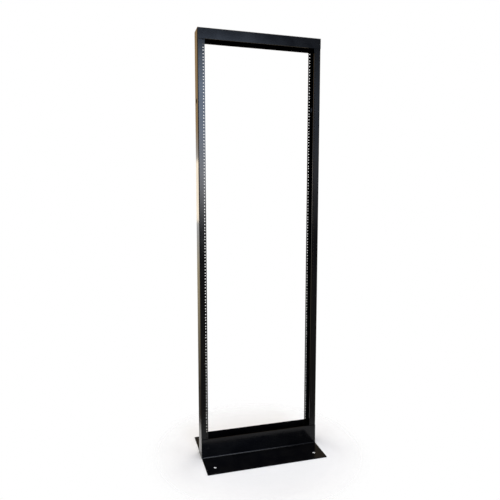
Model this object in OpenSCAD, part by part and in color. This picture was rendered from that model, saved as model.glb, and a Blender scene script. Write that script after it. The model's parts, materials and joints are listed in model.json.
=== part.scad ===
// Two post open frame rack: two cold formed channel posts stand between two base angles
// and carry one inverted cap channel. All joints are fillet welds on the inner side.
// Millimetres. X across the bay, Y from the front flanges to the rear ones, Z up.
// The origin is on the floor, at the middle of the footprint.

/* [Rack bay] */
// Clear width between the flange edges of the two posts
bay_w = 552.45; // [300:0.05:800]
// Number of rack units, each with three holes in every column
rack_units = 44; // [12:1:52]
// Height of one rack unit
unit_h = 44.45; // [40:0.05:50]
// Free height between the base angles and the first rack unit
base_clear = 1.6; // [0:0.1:10]
// Free height between the last rack unit and the cap
cap_clear = 0.8; // [0:0.1:10]

/* [Posts] */
// Depth of a post, from its front flange face to its rear flange face
post_d = 76.2; // [50:0.1:160]
// Width of a post's flanges, from the outside of its web to their free edge
flange_w = 34.9; // [26:0.1:60]
// Wall thickness of a post
post_t = 3.2; // [1.5:0.1:5]
// Inner bend radius of a post
post_bend_r = 0.8; // [0.5:0.1:5]

/* [Equipment holes] */
// Diameter of an equipment screw hole
screw_hole_d = 5.5; // [3:0.1:8]
// Distance of a hole column from the flange edge
screw_hole_inset = 7.14; // [5:0.01:12]
// Height of the lowest hole in a rack unit, and of the highest one under the unit's top
screw_hole_margin = 6.35; // [4:0.05:10]

/* [Web holes] */
// Diameter of the two large holes in each web
web_hole_d = 25.4; // [8:0.1:40]
// Height of the lower web hole
web_hole_low_z = 358.8; // [150:0.1:500]
// Distance between the two web holes
web_hole_pitch = 1422.4; // [100:0.1:1500]

/* [Ends] */
// How far the base angles and the cap stop short of the outside of the posts
end_inset = 1.6; // [0:0.1:5]

/* [Base angles] */
// Height of a base angle's upright leg
base_h = 101.6; // [50:0.1:180]
// Reach of a base angle's floor leg beyond the post face
base_reach = 155.6; // [80:0.1:260]
// Thickness of a base angle
base_t = 3.2; // [2:0.1:8]
// Inner bend radius of a base angle
base_bend_r = 4; // [1:0.1:8]
// Corner radius at the toe of the floor leg
base_corner_r = 3; // [1:0.5:20]
// Diameter of a floor anchor hole
anchor_hole_d = 15.9; // [8:0.1:22]
// Distance of the anchor holes from the ends of a base angle
anchor_end = 47.6; // [25:0.1:120]
// Distance of the anchor holes from the post face
anchor_reach = 99.2; // [30:0.1:120]

/* [Cap channel] */
// Height of the cap channel
cap_h = 50.8; // [25:0.1:100]
// Wall thickness of the cap channel
cap_t = 3.2; // [1.5:0.1:5]
// Inner bend radius of the cap channel
cap_bend_r = 1.6; // [0.5:0.1:5]

/* [Welds] */
// Leg of a fillet weld
weld_leg = 3.2; // [1.5:0.1:5]
// Length left bare at each end of a weld
weld_end = 8; // [2:0.5:20]

/* [Hidden] */
$fn = 48;

paint = [0.045, 0.047, 0.052];
weld_paint = [0.06, 0.06, 0.065];
through = 1;                                    // how far a cutting tool runs past a face

unit_zone_z = base_h + base_clear;              // bottom of the first rack unit
unit_zone_top = unit_zone_z + rack_units * unit_h;
cap_z = unit_zone_top + cap_clear;              // lower edge of the cap channel
rack_h = cap_z + cap_h;
post_h = rack_h - cap_t - cap_bend_r;           // the posts end where the cap's bend starts
rack_w = bay_w + 2 * flange_w;
span_w = rack_w - 2 * end_inset;                // length of the base angles and of the cap
column_x = bay_w / 2 + screw_hole_inset;        // centre line of a hole column
unit_hole_z = [screw_hole_margin, unit_h / 2, unit_h - screw_hole_margin];
anchor_x = span_w / 2 - anchor_end;
anchor_y = post_d / 2 + anchor_reach;

// A quarter ring in the first quadrant: the bend of a folded plate around its centre.
module bend_profile(inner_r, wall) {
    intersection() {
        difference() {
            circle(r = inner_r + wall);
            circle(r = inner_r);
        }
        square(inner_r + wall);
    }
}

// A folded channel section. The web's outer face lies on x = 0, its flanges run towards +x.
module channel_profile(web_w, leg_w, wall, inner_r) {
    outer_r = inner_r + wall;
    translate([0, outer_r - web_w / 2])
        square([wall, web_w - 2 * outer_r]);
    for (side = [0, 1])
        mirror([0, side])
            translate([outer_r, web_w / 2 - outer_r]) {
                mirror([1, 0]) bend_profile(inner_r, wall);
                translate([0, inner_r]) square([leg_w - outer_r, wall]);
            }
}

// A folded angle section in the first quadrant, with its heel at the origin.
module angle_profile(foot_w, upright_h, wall, inner_r) {
    outer_r = inner_r + wall;
    translate([outer_r, 0]) square([foot_w - outer_r, wall]);
    translate([0, outer_r]) square([wall, upright_h - outer_r]);
    translate([outer_r, outer_r]) rotate(180) bend_profile(inner_r, wall);
}

// Every equipment hole of one post: each drill goes through both flanges.
module equipment_drills() {
    for (unit = [0 : rack_units - 1], hole_z = unit_hole_z)
        translate([column_x, -post_d / 2 - through, unit_zone_z + unit * unit_h + hole_z])
            rotate([-90, 0, 0])
                cylinder(h = post_d + 2 * through, d = screw_hole_d);
}

// The two large holes of one web.
module web_drills() {
    for (z = [web_hole_low_z, web_hole_low_z + web_hole_pitch])
        translate([rack_w / 2 - post_t - through, 0, z])
            rotate([0, 90, 0])
                cylinder(h = post_t + 2 * through, d = web_hole_d);
}

// A post on the right of the bay: web outwards, flanges towards the bay.
module post() {
    difference() {
        translate([rack_w / 2, 0, 0])
            mirror([1, 0, 0])
                linear_extrude(height = post_h)
                    channel_profile(post_d, flange_w, post_t, post_bend_r);
        equipment_drills();
        web_drills();
    }
}

// What rounds one toe corner of a floor leg: a square with its inner quarter disc taken out.
module toe_corner_cut() {
    difference() {
        translate([0, 0, -through]) cube([base_corner_r + through, base_corner_r + through,
            base_t + 2 * through]);
        translate([0, 0, -2 * through]) cylinder(h = base_t + 4 * through, r = base_corner_r);
    }
}

// The base angle behind the posts: its heel is against the rear flanges.
module base_angle() {
    difference() {
        translate([-span_w / 2, post_d / 2, 0])
            rotate([90, 0, 90])
                linear_extrude(height = span_w)
                    angle_profile(base_reach, base_h, base_t, base_bend_r);
        for (side = [0, 1])
            mirror([side, 0, 0]) {
                translate([anchor_x, anchor_y, -through])
                    cylinder(h = base_t + 2 * through, d = anchor_hole_d);
                translate([span_w / 2 - base_corner_r, post_d / 2 + base_reach - base_corner_r, 0])
                    toe_corner_cut();
            }
    }
}

// The cap channel: its flanges lap over the outside of the post flanges.
module cap() {
    translate([-span_w / 2, 0, rack_h])
        rotate([0, 90, 0])
            linear_extrude(height = span_w)
                channel_profile(post_d + 2 * cap_t, cap_h, cap_t, cap_bend_r);
}

// A fillet weld in the right rear corner between a flange edge and the plate lapped over it.
module flange_weld(low_z, high_z) {
    translate([bay_w / 2, post_d / 2, low_z])
        intersection() {
            cylinder(h = high_z - low_z, r = weld_leg);
            translate([-weld_leg, -weld_leg, 0]) cube([weld_leg, weld_leg, high_z - low_z]);
        }
}

module base_weld() {
    color(weld_paint) flange_weld(base_bend_r + base_t + weld_end, base_h - weld_end);
}

module top_weld() {
    color(weld_paint) flange_weld(cap_z + weld_end, post_h - weld_end);
}

module left_post() { color(paint) mirror([1, 0, 0]) post(); }
module right_post() { color(paint) post(); }
module top_channel() { color(paint) cap(); }
module front_base_angle() { color(paint) mirror([0, 1, 0]) base_angle(); }
module rear_base_angle() { color(paint) base_angle(); }
module left_front_base_weld() { mirror([1, 0, 0]) mirror([0, 1, 0]) base_weld(); }
module left_rear_base_weld() { mirror([1, 0, 0]) base_weld(); }
module right_front_base_weld() { mirror([0, 1, 0]) base_weld(); }
module right_rear_base_weld() { base_weld(); }
module left_front_top_weld() { mirror([1, 0, 0]) mirror([0, 1, 0]) top_weld(); }
module left_rear_top_weld() { mirror([1, 0, 0]) top_weld(); }
module right_front_top_weld() { mirror([0, 1, 0]) top_weld(); }
module right_rear_top_weld() { top_weld(); }

left_post();
right_post();
top_channel();
front_base_angle();
rear_base_angle();
left_front_base_weld();
left_rear_base_weld();
right_front_base_weld();
right_rear_base_weld();
left_front_top_weld();
left_rear_top_weld();
right_front_top_weld();
right_rear_top_weld();
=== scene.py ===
# %% [markdown]
# # A two post open frame rack in black powder coat
#
# The rack is five folded steel sections and eight fillet welds, baked over with one coat of black
# powder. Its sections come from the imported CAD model, which fixes every size and hole, so this lesson
# is about what a CAD model can't give: how thin black powder coat takes the light, what the hand of
# the welder left in the corners, and a studio in which a black object still shows its form.

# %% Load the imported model
import json
import math

import bpy
import numpy as np
from mathutils import Matrix, Vector


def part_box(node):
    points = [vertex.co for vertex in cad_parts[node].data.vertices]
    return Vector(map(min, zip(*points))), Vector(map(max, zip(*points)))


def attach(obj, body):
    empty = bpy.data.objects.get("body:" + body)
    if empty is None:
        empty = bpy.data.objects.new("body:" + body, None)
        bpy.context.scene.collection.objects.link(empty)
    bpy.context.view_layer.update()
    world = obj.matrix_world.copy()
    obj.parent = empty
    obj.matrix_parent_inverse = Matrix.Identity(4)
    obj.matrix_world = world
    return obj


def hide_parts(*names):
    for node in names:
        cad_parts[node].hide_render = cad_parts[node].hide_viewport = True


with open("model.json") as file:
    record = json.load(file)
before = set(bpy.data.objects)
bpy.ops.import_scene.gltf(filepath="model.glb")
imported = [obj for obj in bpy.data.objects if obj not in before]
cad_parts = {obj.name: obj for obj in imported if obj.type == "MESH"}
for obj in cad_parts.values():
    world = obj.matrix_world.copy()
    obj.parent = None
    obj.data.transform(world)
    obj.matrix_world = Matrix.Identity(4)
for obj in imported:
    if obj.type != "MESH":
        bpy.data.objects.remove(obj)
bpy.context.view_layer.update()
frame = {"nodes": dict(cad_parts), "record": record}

# %% [markdown]
# ## Where things are
#
# The lengths that the materials and the weld beads need are read from the imported part: the nodes' boxes
# give the weld corners, and the record's bolt patterns give the hole columns. In
# this way nothing here can drift away from the steel.

# %% Read the lengths
MM = 0.001
mounts = {m["name"]: m for m in frame["record"]["mounts"]}
unit_1 = mounts["unit_1_holes"]
column_x = unit_1["dims"]["spacing_x_mm"] * MM / 2
hole_r = unit_1["dims"]["hole_r_mm"] * MM
first_hole_z = unit_1["pos_m"][2] - unit_1["dims"]["spacing_y_mm"] * MM / 2
unit_h = (mounts["unit_44_holes"]["pos_m"][2] - unit_1["pos_m"][2]) / 43
print(f"hole columns at x = +-{column_x:.4f}, lowest hole {first_hole_z:.4f}, unit {unit_h:.5f}")

# %% [markdown]
# ## The camera
#
# A tall, slender object seen from one side and a little above its middle: the nearer post shows a
# sliver of its web, and the foot is seen from above. The camera stands at eye height, turned to the
# right and tipped down a little, and nothing is shifted or blurred. It comes first, because every
# choice of light below is made for what this camera sees mirrored in the steel.

# %% Place the camera
camera_at = Vector((-0.7124, -2.3565, 1.3117))
turn_right = 0.27592
tip_down = 0.10327

camera_data = bpy.data.cameras.new("camera")
camera_data.sensor_width = 36.0
camera_data.lens = 34.872
camera_data.clip_start, camera_data.clip_end = 0.05, 60.0
camera = bpy.data.objects.new("camera", camera_data)
camera.matrix_world = (
    Matrix.Translation(camera_at)
    @ Matrix.Rotation(-turn_right, 4, "Z")
    @ Matrix.Rotation(math.pi / 2 - tip_down, 4, "X")
)
bpy.context.scene.collection.objects.link(camera)
bpy.context.scene.camera = camera
bpy.context.scene.view_settings.view_transform = "Standard"
print("camera stands", round((camera_at - Vector((0, 0, 1))).length, 2), "m from the rack")

# %% [markdown]
# ## Small helpers for node trees
#
# A material is a graph. `add` makes a node, sets its plain values and wires what is passed as a
# socket, so that each effect below reads as a short list of steps.


# %% Helpers for nodes
def add(tree, kind, values=None, **settings):
    """One node: `settings` are its properties, `values` its inputs by name or number."""
    node = tree.nodes.new("ShaderNode" + kind)
    for key, value in settings.items():
        setattr(node, key, value)
    for key, value in (values or {}).items():
        if isinstance(value, bpy.types.NodeSocket):
            tree.links.new(value, node.inputs[key])
        else:
            node.inputs[key].default_value = value
    return node


def reckon(tree, operation, a, b=0.0, c=0.0, clamp=False):
    """The output of one Math node."""
    node = add(tree, "Math", {0: a, 1: b, 2: c}, operation=operation, use_clamp=clamp)
    return node.outputs[0]


def fade(tree, value, start, stop, low=0.0, high=1.0):
    """A smooth step from `low` at `start` to `high` at `stop`."""
    node = add(
        tree,
        "MapRange",
        {"Value": value, "From Min": start, "From Max": stop, "To Min": low, "To Max": high},
        interpolation_type="SMOOTHSTEP",
    )
    return node.outputs["Result"]


def blend_colours(tree, share, first, second):
    """The colour that is `first` where share is 0 and `second` where it is 1."""
    node = add(tree, "Mix", {0: share, 6: first, 7: second}, data_type="RGBA")
    return node.outputs[2]


def new_effect(name, inputs, outputs):
    """An empty node group with named sockets, and its two ends."""
    tree = bpy.data.node_groups.new(name, "ShaderNodeTree")
    for label, value in inputs.items():
        kind = "NodeSocketColor" if isinstance(value, tuple) else "NodeSocketFloat"
        socket = tree.interface.new_socket(label, in_out="INPUT", socket_type=kind)
        socket.default_value = value
    for label, kind in outputs.items():
        tree.interface.new_socket(label, in_out="OUTPUT", socket_type="NodeSocket" + kind)
    return tree, tree.nodes.new("NodeGroupInput"), tree.nodes.new("NodeGroupOutput")


def place_effect(tree, effect, **values):
    """The effect as one node of a material; an underscore in a name stands for a space."""
    node = tree.nodes.new("ShaderNodeGroup")
    node.node_tree = effect
    for key, value in values.items():
        label = key.replace("_", " ")
        if isinstance(value, bpy.types.NodeSocket):
            tree.links.new(value, node.inputs[label])
        else:
            node.inputs[label].default_value = value
    return node


# %% [markdown]
# ## Orange peel
#
# Powder is sprayed on dry and melts in the oven. It never flows quite flat: it keeps a skin of soft
# pimples two or three millimetres apart and a few hundredths of a millimetre high, called orange
# peel, with a finer grain on top. It could be sculpted, but it is far smaller than any face of the
# mesh, so it is a height for the Bump node, in metres on the object's own coordinates.

# %% Make the orange peel
orange_peel, given, result = new_effect(
    "orange_peel", {"Wave": 0.0026, "Grain": 0.25}, {"Height": "Float"}
)
place = add(orange_peel, "TexCoord").outputs["Object"]
waves_per_metre = reckon(orange_peel, "DIVIDE", 1.0, given.outputs["Wave"])
pimples = add(
    orange_peel, "TexNoise", {"Vector": place, "Scale": waves_per_metre, "Detail": 1.5}
).outputs["Fac"]
grain_scale = reckon(orange_peel, "MULTIPLY", waves_per_metre, 5.5)
grain = add(
    orange_peel, "TexNoise", {"Vector": place, "Scale": grain_scale, "Detail": 2.0}
).outputs["Fac"]
height = reckon(orange_peel, "MULTIPLY_ADD", grain, given.outputs["Grain"], pimples)
orange_peel.links.new(height, result.inputs["Height"])
print("orange peel nodes:", len(orange_peel.nodes))

# %% [markdown]
# ## The tone of the coat
#
# A black coat isn't one black. Where the powder lies thinner it looks a little warmer and lighter,
# and each batch has specks of pigment. A slow noise over a hand's breadth makes the first, and a fine
# one under a millimetre the second.

# %% Make the coat's tone
coat_tone, given, result = new_effect(
    "coat_tone",
    {"Deep": (0.005, 0.005, 0.006, 1.0), "Thin": (0.011, 0.0105, 0.0105, 1.0), "Patch": 0.09},
    {"Colour": "Color", "Share": "Float"},
)
place = add(coat_tone, "TexCoord").outputs["Object"]
patch_scale = reckon(coat_tone, "DIVIDE", 1.0, given.outputs["Patch"])
patches = add(
    coat_tone, "TexNoise", {"Vector": place, "Scale": patch_scale, "Detail": 4.0}
).outputs["Fac"]
specks = add(coat_tone, "TexNoise", {"Vector": place, "Scale": 1600.0, "Detail": 1.0}).outputs["Fac"]
slow = fade(coat_tone, patches, 0.35, 0.68, 0.0, 0.75)
fine = fade(coat_tone, specks, 0.6, 0.75, 0.0, 0.25)
share = reckon(coat_tone, "ADD", slow, fine, clamp=True)
tone = blend_colours(coat_tone, share, given.outputs["Deep"], given.outputs["Thin"])
coat_tone.links.new(tone, result.inputs["Colour"])
coat_tone.links.new(share, result.inputs["Share"])
print("tone nodes:", len(coat_tone.nodes))

# %% [markdown]
# ## Rims of the screw holes
#
# Each equipment hole is drilled and tapped, and the tap lifts a small ring around it that the powder
# covers only thinly. The rack has 528 of them, so no ring is placed by hand: the height is folded into
# one rack unit, and the distance to the nearest of the unit's three holes gives the ring. The fold is
# the remainder of the height divided by the unit. It starts a little below the lowest hole, so that
# no ring is cut in two.

# %% Make the rims
HOLE_STEPS = (0.0, 15.875 * MM, 31.75 * MM)
FOLD_BELOW = 0.2 * unit_h

hole_rims, given, result = new_effect(
    "hole_rims", {"Rim": 0.0011}, {"Ring": "Float", "Lip": "Float"}
)
place = add(hole_rims, "TexCoord").outputs["Object"]
axes = add(hole_rims, "SeparateXYZ", {"Vector": place})
sideways = reckon(hole_rims, "ABSOLUTE", axes.outputs["X"])
sideways = reckon(hole_rims, "SUBTRACT", sideways, column_x)
in_unit = reckon(hole_rims, "SUBTRACT", axes.outputs["Z"], first_hole_z - FOLD_BELOW)
in_unit = reckon(hole_rims, "FLOORED_MODULO", in_unit, unit_h)
in_unit = reckon(hole_rims, "SUBTRACT", in_unit, FOLD_BELOW)
nearest = None
for step in HOLE_STEPS:
    upward = reckon(hole_rims, "SUBTRACT", in_unit, step)
    square = reckon(hole_rims, "MULTIPLY", upward, upward)
    square = reckon(hole_rims, "MULTIPLY_ADD", sideways, sideways, square)
    nearest = square if nearest is None else reckon(hole_rims, "MINIMUM", nearest, square)
distance = reckon(hole_rims, "SQRT", nearest)
past_edge = reckon(hole_rims, "SUBTRACT", distance, hole_r)
share = reckon(hole_rims, "DIVIDE", past_edge, given.outputs["Rim"], clamp=True)
ring = fade(hole_rims, share, 0.0, 1.0, 1.0, 0.0)
lip = reckon(hole_rims, "MULTIPLY", ring, ring)
hole_rims.links.new(ring, result.inputs["Ring"])
hole_rims.links.new(lip, result.inputs["Lip"])
print("rim nodes:", len(hole_rims.nodes))

# %% [markdown]
# ## Dust
#
# A rack on a floor gathers fine dust on what faces up: the floor legs, the cap and the top of each
# weld. The mask is the upward part of the surface's own normal, broken up by noise, and a little more
# of it lies near the floor.

# %% Make the dust
settled_dust, given, result = new_effect("settled_dust", {"Amount": 0.3}, {"Mask": "Float"})
place = add(settled_dust, "TexCoord").outputs["Object"]
faces = add(settled_dust, "NewGeometry").outputs["Normal"]
upward = add(settled_dust, "SeparateXYZ", {"Vector": faces}).outputs["Z"]
lies_flat = fade(settled_dust, upward, 0.55, 0.95)
height_up = add(settled_dust, "SeparateXYZ", {"Vector": place}).outputs["Z"]
near_floor = fade(settled_dust, height_up, 0.0, 0.25, 0.25, 0.0)
anywhere = reckon(settled_dust, "MAXIMUM", lies_flat, near_floor)
motes = add(settled_dust, "TexNoise", {"Vector": place, "Scale": 140.0, "Detail": 6.0}).outputs["Fac"]
broken = fade(settled_dust, motes, 0.45, 0.75)
mask = reckon(settled_dust, "MULTIPLY", anywhere, broken)
mask = reckon(settled_dust, "MULTIPLY", mask, given.outputs["Amount"], clamp=True)
settled_dust.links.new(mask, result.inputs["Mask"])
print("dust nodes:", len(settled_dust.nodes))

# %% [markdown]
# ## Semi-gloss black powder coat
#
# The sections' own material. The Principled shader does the physics: a low specular level, so that
# black stays black beside a white room, and a roughness that keeps a reflection's place but not its
# edges. The four effects above give the colour, the roughness and the bump, and numbers that are the
# same all over are set on the shader itself. Only the posts have screw holes, so only their coat has
# the rims.

# %% Build the coat
GLOSS = 0.12
SPECULAR = 0.22
DUST_COLOUR = (0.16, 0.15, 0.135, 1.0)


def coat_of_powder(name, deep, thin, gloss, wave, lift, dust, drilled=False):
    """A powder coat: its two tones, its roughness, and its peel's wave and height in metres."""
    material = bpy.data.materials.new(name)
    material.use_nodes = True
    tree = material.node_tree
    tree.nodes.clear()
    tone_node = place_effect(tree, coat_tone, Deep=deep, Thin=thin)
    dusty = place_effect(tree, settled_dust, Amount=dust).outputs["Mask"]
    height = place_effect(tree, orange_peel, Wave=wave).outputs["Height"]
    colour = tone_node.outputs["Colour"]
    rough = reckon(tree, "MULTIPLY_ADD", tone_node.outputs["Share"], 0.07, gloss)
    if drilled:
        rims = place_effect(tree, hole_rims)
        thin_ring = reckon(tree, "MULTIPLY", rims.outputs["Ring"], 0.6)
        colour = blend_colours(tree, thin_ring, colour, thin)
        rough = reckon(tree, "MULTIPLY_ADD", rims.outputs["Ring"], -0.04, rough)
        height = reckon(tree, "MULTIPLY_ADD", rims.outputs["Lip"], 2.0, height)
    colour = blend_colours(tree, dusty, colour, DUST_COLOUR)
    rough = reckon(tree, "MULTIPLY_ADD", dusty, 0.5, rough, clamp=True)
    bump = add(tree, "Bump", {"Height": height, "Strength": 1.0, "Distance": lift})
    shader = add(
        tree,
        "BsdfPrincipled",
        {
            "Base Color": colour,
            "Roughness": rough,
            "Metallic": 0.0,
            "IOR": 1.5,
            "Specular IOR Level": SPECULAR,
            "Normal": bump.outputs["Normal"],
        },
    )
    out = tree.nodes.new("ShaderNodeOutputMaterial")
    tree.links.new(shader.outputs["BSDF"], out.inputs["Surface"])
    return material


DEEP = (0.0012, 0.0012, 0.0020, 1.0)
THIN = (0.0032, 0.0030, 0.0030, 1.0)
PEEL = {"wave": 2.6 * MM, "lift": 0.018 * MM, "dust": 0.012}
WELD_PEEL = {"wave": 1.4 * MM, "lift": 0.03 * MM, "dust": 0.04}
plain_coat = coat_of_powder("powder_coat", DEEP, THIN, GLOSS, **PEEL)
post_coat = coat_of_powder("post_coat", DEEP, THIN, GLOSS, **PEEL, drilled=True)
weld_coat = coat_of_powder("weld_coat", DEEP, THIN, GLOSS + 0.06, **WELD_PEEL)
coated = 0
for name, section in frame["nodes"].items():
    if name.endswith("_weld"):
        continue
    for slot in section.material_slots:
        slot.material = post_coat if name.endswith("_post") else plain_coat
        coated += 1
print("slots coated:", coated)

# %% [markdown]
# ## The weld beads
#
# A fillet weld is a row of frozen puddles. The welder stops for an instant at each step, and each
# puddle freezes as a crescent over the last, so the bead looks like a pushed over stack of coins
# with rounded ends. The CAD model has a smooth quarter round in each corner, and here a rippled
# surface stands for it.
#
# The bead is a grid of two parameters: `s`, the way along the corner, and `a`, the angle across it
# from one plate to the other. Its radius is
#
#     r(s, a) = leg * swell(s) * (0.84 + 0.14 * |sin(pi * (s - lag(a)) / pitch)| ** 0.6)
#
# where `lag(a)` bends each ripple into a crescent, and `swell(s)` rounds both ends.

# %% Weld a bead
RIPPLE = 1.9 * MM
BURY = 0.15 * MM


def bead_surface(low_z, high_z, leg, along, across):
    """The bead's grid of points (along, across + 1, 3) in a corner at x = y = 0, steel at x, y < 0.

    Each row is the arc from one plate to the other and, as its last point, the root of the weld,
    a little inside the steel.
    """
    s = np.linspace(0.0, 1.0, along)[:, None]
    a = np.linspace(-0.06, math.pi / 2 + 0.06, across)[None, :]
    z = low_z + s * (high_z - low_z)
    lag = 0.75 * RIPPLE * np.cos(2.0 * (a - math.pi / 4))
    ripple = np.abs(np.sin(math.pi * (z - lag) / RIPPLE)) ** 0.6
    from_end = np.minimum(s, 1.0 - s) * (high_z - low_z) / leg
    swell = np.sqrt(1.0 - (1.0 - np.clip(from_end, 0.04, 1.0)) ** 2)
    r = leg * swell * (0.84 + 0.14 * ripple)
    arc = np.stack([r * np.cos(a), r * np.sin(a), z + 0.0 * a], axis=-1)
    root = np.concatenate([np.full((along, 2), -BURY), z], axis=-1)[:, None, :]
    return np.concatenate([arc, root], axis=1)


def tube_mesh(name, grid, turn_over):
    """A closed tube from rings of points (rings, points, 3), with both end rings filled."""
    rings, points = grid.shape[:2]
    ring = np.arange(rings - 1)[:, None] * points
    here = np.arange(points)[None, :]
    after = (here + 1) % points
    quads = np.stack([ring + here, ring + after, ring + after + points, ring + here + points], -1)
    faces = quads.reshape(-1, 4).tolist()
    faces += [np.arange(points)[::-1].tolist(), (np.arange(points) + (rings - 1) * points).tolist()]
    if turn_over:
        faces = [face[::-1] for face in faces]
    mesh = bpy.data.meshes.new(name)
    mesh.from_pydata(grid.reshape(-1, 3).tolist(), [], faces)
    mesh.polygons.foreach_set("use_smooth", np.ones(len(faces), dtype=bool))
    mesh.update()
    return mesh


beads = []
for node in sorted(n for n in frame["nodes"] if n.endswith("_weld")):
    low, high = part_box(node)
    side = 1.0 if low.x > 0 else -1.0
    end = 1.0 if low.y > 0 else -1.0
    leg = high.x - low.x
    corner = np.array([max(abs(low.x), abs(high.x)) * side, max(abs(low.y), abs(high.y)) * end, 0.0])
    rows = int(round((high.z - low.z) / RIPPLE)) * 8 + 1
    grid = bead_surface(low.z, high.z, leg, rows, 13) * (-side, -end, 1.0) + corner
    bead = bpy.data.objects.new(node + "_bead", tube_mesh(node + "_bead", grid, side * end < 0))
    bpy.context.scene.collection.objects.link(bead)
    bead.data.materials.append(weld_coat)
    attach(bead, "root")
    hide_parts(node)
    beads.append(bead)
print("beads:", len(beads), "faces:", sum(len(b.data.polygons) for b in beads))

# %% [markdown]
# ## The floor
#
# A pale sheet lies under the rack and keeps its soft shadow. It fades out a hand's breadth past the
# base, so that no horizon cuts across the picture and the posts mirror little of it. It is a disc in
# polar coordinates, radius and angle, and its material grows transparent with the distance from
# the rack.

# %% Lay the floor
FLOOR_R = 1.5
SOLID_R, GONE_R = 0.36, 0.62
RINGS, SPOKES = 12, 48
radius = np.linspace(0.0, 1.0, RINGS + 1)[1:, None] ** 1.5 * FLOOR_R
angle = np.linspace(0.0, 2 * math.pi, SPOKES + 1)[None, :-1]
rim_points = np.stack([radius * np.cos(angle), radius * np.sin(angle), 0.0 * radius * angle], -1)
points = np.concatenate([np.zeros((1, 3)), rim_points.reshape(-1, 3)]) + (0.0, 0.0, -0.5 * MM)
around = np.arange(SPOKES)
after = (around + 1) % SPOKES
centre_faces = np.stack([0 * around, 1 + around, 1 + after], -1).tolist()
first = 1 + np.arange(RINGS - 1)[:, None] * SPOKES
outer = first + SPOKES
ring_faces = np.stack([first + around, outer + around, outer + after, first + after], -1)
floor_mesh = bpy.data.meshes.new("studio_floor")
floor_mesh.from_pydata(points.tolist(), [], centre_faces + ring_faces.reshape(-1, 4).tolist())
floor = bpy.data.objects.new("studio_floor", floor_mesh)
bpy.context.scene.collection.objects.link(floor)

floor_paint = bpy.data.materials.new("pale_floor")
floor_paint.use_nodes = True
tree = floor_paint.node_tree
tree.nodes.clear()
place = add(tree, "TexCoord").outputs["Object"]
speckle = add(tree, "TexNoise", {"Vector": place, "Scale": 60.0, "Detail": 5.0}).outputs["Fac"]
pale = blend_colours(tree, speckle, (0.93, 0.93, 0.93, 1.0), (0.97, 0.97, 0.97, 1.0))
matt = add(tree, "BsdfDiffuse", {"Color": pale})
clear = add(tree, "BsdfTransparent")
from_rack = add(tree, "VectorMath", {0: place}, operation="LENGTH").outputs["Value"]
gone = fade(tree, from_rack, SOLID_R, GONE_R)
cover = add(tree, "MixShader", {0: gone, 1: matt.outputs[0], 2: clear.outputs[0]})
out = tree.nodes.new("ShaderNodeOutputMaterial")
tree.links.new(cover.outputs[0], out.inputs["Surface"])
floor_mesh.materials.append(floor_paint)
print("floor faces:", len(floor_mesh.polygons), "fading from", SOLID_R, "to", GONE_R, "m")

# %% [markdown]
# ## The room
#
# Black gloss has little colour of its own: what it shows is the room. The camera meets white in every
# direction. Reflections and glass meet the same white only in a band near the horizon behind the
# rack, and elsewhere a dimmer room, because black gloss that mirrors white all round turns grey. The
# room in front is a cool grey over a dull floor. Behind, it is warm at the foot of the wall and darker
# high up and near the rack. Each pair of colours is blended by the direction's height or depth.

# %% Build the room
FRONT_WALL, FRONT_FLOOR = (0.12, 0.13, 0.16, 1.0), (0.34, 0.31, 0.28, 1.0)
BACK_HIGH, BACK_WALL = (0.20, 0.17, 0.13, 1.0), (0.76, 0.51, 0.26, 1.0)
BACK_FLOOR, BACK_NEAR = (0.88, 0.74, 0.49, 1.0), (0.09, 0.075, 0.06, 1.0)
SOFT_LIGHT = 0.6

world = bpy.data.worlds.new("studio")
world.use_nodes = True
bpy.context.scene.world = world
tree = world.node_tree
tree.nodes.clear()
ray = add(tree, "LightPath").outputs
direction = add(tree, "TexCoord").outputs["Generated"]
axes = add(tree, "SeparateXYZ", {"Vector": direction}).outputs
up = axes["Z"]
in_front = blend_colours(tree, fade(tree, up, -0.28, 0.02), FRONT_FLOOR, FRONT_WALL)
at_back = blend_colours(tree, fade(tree, up, -0.40, -0.12), BACK_NEAR, BACK_FLOOR)
at_back = blend_colours(tree, fade(tree, up, -0.03, 0.06), at_back, BACK_WALL)
at_back = blend_colours(tree, fade(tree, up, 0.28, 0.48), at_back, BACK_HIGH)
room = blend_colours(tree, fade(tree, axes["Y"], -0.3, 0.4), in_front, at_back)
backdrop = fade(tree, axes["Y"], 0.45, 0.8)
backdrop = reckon(tree, "MULTIPLY", backdrop, fade(tree, up, -0.16, -0.04))
backdrop = reckon(tree, "MULTIPLY", backdrop, fade(tree, up, 0.05, 0.16, 1.0, 0.0))
mirrored = reckon(tree, "MAXIMUM", ray["Is Glossy Ray"], ray["Is Transmission Ray"])
backdrop_level = reckon(tree, "MULTIPLY_ADD", mirrored, 1.0 - SOFT_LIGHT, SOFT_LIGHT)
white = add(tree, "CombineColor", {0: backdrop_level, 1: backdrop_level, 2: backdrop_level})
room = blend_colours(tree, backdrop, room, white.outputs[0])
shown = blend_colours(tree, ray["Is Camera Ray"], room, (1.0, 1.0, 1.0, 1.0))
glow = add(tree, "Background", {"Color": shown, "Strength": 1.0})
out = tree.nodes.new("ShaderNodeOutputWorld")
tree.links.new(glow.outputs[0], out.inputs["Surface"])
print("room nodes:", len(tree.nodes))

# %% [markdown]
# ## The lamps
#
# Three large soft panels. The first stands far in front like a tall window, where the front flange of
# the nearer post mirrors it, and draws the long blue grey sheen down that flange. A warm one stands
# behind on the left, where the web, seen nearly edge on, mirrors it like a pane of glass. The third
# hangs overhead and lights the floor. A panel's radiance is its power divided by pi and its area, so
# the powers are worked out from how bright the panel should look.

# %% Hang the lamps


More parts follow.
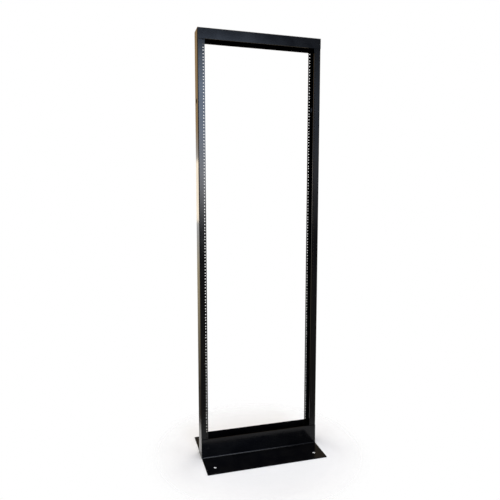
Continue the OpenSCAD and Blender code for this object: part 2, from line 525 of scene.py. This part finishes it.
def soft_panel(name, centre, aim, width, height_up, colour, radiance):
    """A rectangular lamp at `centre` that faces `aim`; power = radiance * pi * width * height."""
    lamp = bpy.data.lights.new(name, "AREA")
    lamp.shape = "RECTANGLE"
    lamp.size, lamp.size_y = width, height_up
    lamp.color = colour
    lamp.energy = radiance * math.pi * width * height_up
    panel = bpy.data.objects.new(name, lamp)
    facing = (Vector(aim) - Vector(centre)).to_track_quat("-Z", "Y")
    panel.matrix_world = Matrix.Translation(centre) @ facing.to_matrix().to_4x4()
    panel.visible_camera = False
    bpy.context.scene.collection.objects.link(panel)
    print(name, "power", round(lamp.energy, 1), "W")
    return panel


WHITE = (1.0, 1.0, 1.0)
WINDOW_W, WINDOW_H, WINDOW_LEFT = 6.6, 6.2, -0.3
window_x, window_z = WINDOW_LEFT + WINDOW_W / 2, WINDOW_H / 2
window_panel = soft_panel(
    "window_panel",
    (window_x, -11.0, window_z),
    (window_x, 0.0, window_z),
    WINDOW_W,
    WINDOW_H,
    WHITE,
    12.5,
)
soft_panel("warm_panel", (-1.2, 5.2, 1.45), (-0.3, 0.0, 1.4), 1.4, 0.95, (1.0, 0.80, 0.53), 1.75)
soft_panel("overhead_panel", (0.0, 0.3, 4.4), (0.0, 0.0, 0.0), 3.2, 3.2, WHITE, 5.5)

# %% [markdown]
# ## The window's face
#
# A real window has no hard edge in a reflection: a blind, the sky's own gradient and the wall beside
# it soften it. A lamp may have nodes too. Its Parametric coordinate runs from 0 to 1 across its face,
# so a few smooth steps in metres shade it: blue sky above, paler light below, a slow fall to the
# right, and soft upper and lower ends.

# %% Shade the window
SKY, HAZE = (0.62, 0.76, 1.0, 1.0), (0.93, 0.94, 1.0, 1.0)

window_panel.data.use_nodes = True
tree = window_panel.data.node_tree
tree.nodes.clear()
on_face = add(tree, "NewGeometry").outputs["Parametric"]
across = add(tree, "SeparateXYZ", {"Vector": on_face}).outputs
x_there = reckon(tree, "MULTIPLY_ADD", across["X"], WINDOW_W, WINDOW_LEFT)
z_there = reckon(tree, "MULTIPLY", across["Y"], WINDOW_H)
sky = blend_colours(tree, fade(tree, z_there, 1.6, 3.7), HAZE, SKY)
to_the_right = fade(tree, x_there, 2.4, 4.3, 1.0, 0.10)
upper_end = fade(tree, z_there, 4.45, 5.95, 1.0, 0.0)
lower_end = fade(tree, z_there, 0.4, 2.1)
shade = reckon(tree, "MULTIPLY", to_the_right, upper_end)
shade = reckon(tree, "MULTIPLY", shade, lower_end)
glow = add(tree, "Emission", {"Color": sky, "Strength": shade})
tree.links.new(glow.outputs[0], tree.nodes.new("ShaderNodeOutputLight").inputs["Surface"])
print("window nodes:", len(tree.nodes))
